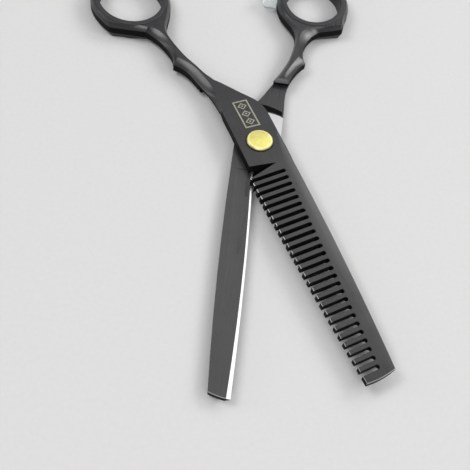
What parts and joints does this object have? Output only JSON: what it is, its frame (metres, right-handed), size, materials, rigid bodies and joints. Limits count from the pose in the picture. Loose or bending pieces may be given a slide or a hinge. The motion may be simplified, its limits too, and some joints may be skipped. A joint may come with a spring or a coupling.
{
  "type": "thinning shears",
  "caption": "Long-bladed hair thinning shears lying open: a comb blade on top crossing a plain blade, offset shanks, lined finger rings, a small stop bumper and a curled finger rest.",
  "frame": {"origin": "on the pivot's axis, in the plane of the underside", "axes": "+Z along the pivot axis, from the tension nut to the gold head; -Y is the direction midway between the two blades as they lie open at rest, so +Y runs towards the finger rings; +X is the side of the comb blade"},
  "size_m": [0.0934, 0.1487, 0.006],
  "materials": {
    "comb_half_coating": "semi-gloss black coating over brushed steel",
    "plain_half_coating": "semi-gloss black coating over brushed steel, honed strip and half-moon left bare",
    "gold_plate": "satin gold plating",
    "nylon": "smooth black nylon",
    "spring_steel": "rolled spring steel",
    "nut_plate": "black coating",
    "soft_liner": "satin black silicone rubber",
    "clear_silicone": "clear silicone",
    "rest_coating": "semi-gloss black coating"
  },
  "bodies": {
    "comb_side": {"toothed_half": "comb_half_coating", "pivot_screw": "gold_plate", "head_washer": "nylon", "finger_liner": "soft_liner"},
    "plain_side": {"plain_half": "plain_half_coating", "pivot_bushing": "nylon", "thrust_washer": "nylon", "spring_washer": "spring_steel", "thumb_liner": "soft_liner", "bumper": "clear_silicone"},
    "nut": {"tension_nut": "nut_plate"},
    "rest": {"finger_rest": "rest_coating"}
  },
  "joints": [
    {"name": "blade_pivot", "type": "hinge", "parent": "comb_side", "child": "plain_side", "pos_m": [0, 0, 0], "axis": [0, 0, -1], "range_deg": [-26.85, 60.4]},
    {"name": "nut_turn", "type": "hinge", "parent": "comb_side", "child": "nut", "pos_m": [0, 0, 0], "axis": [0, 0, 1], "range_deg": [-90, 90]},
    {"name": "rest_turn", "type": "hinge", "parent": "comb_side", "child": "rest", "pos_m": [-0.03913, 0.07197, 0.0025], "axis": [-0.65, 0.76, 0], "range_deg": [-90, 90]}
  ]
}
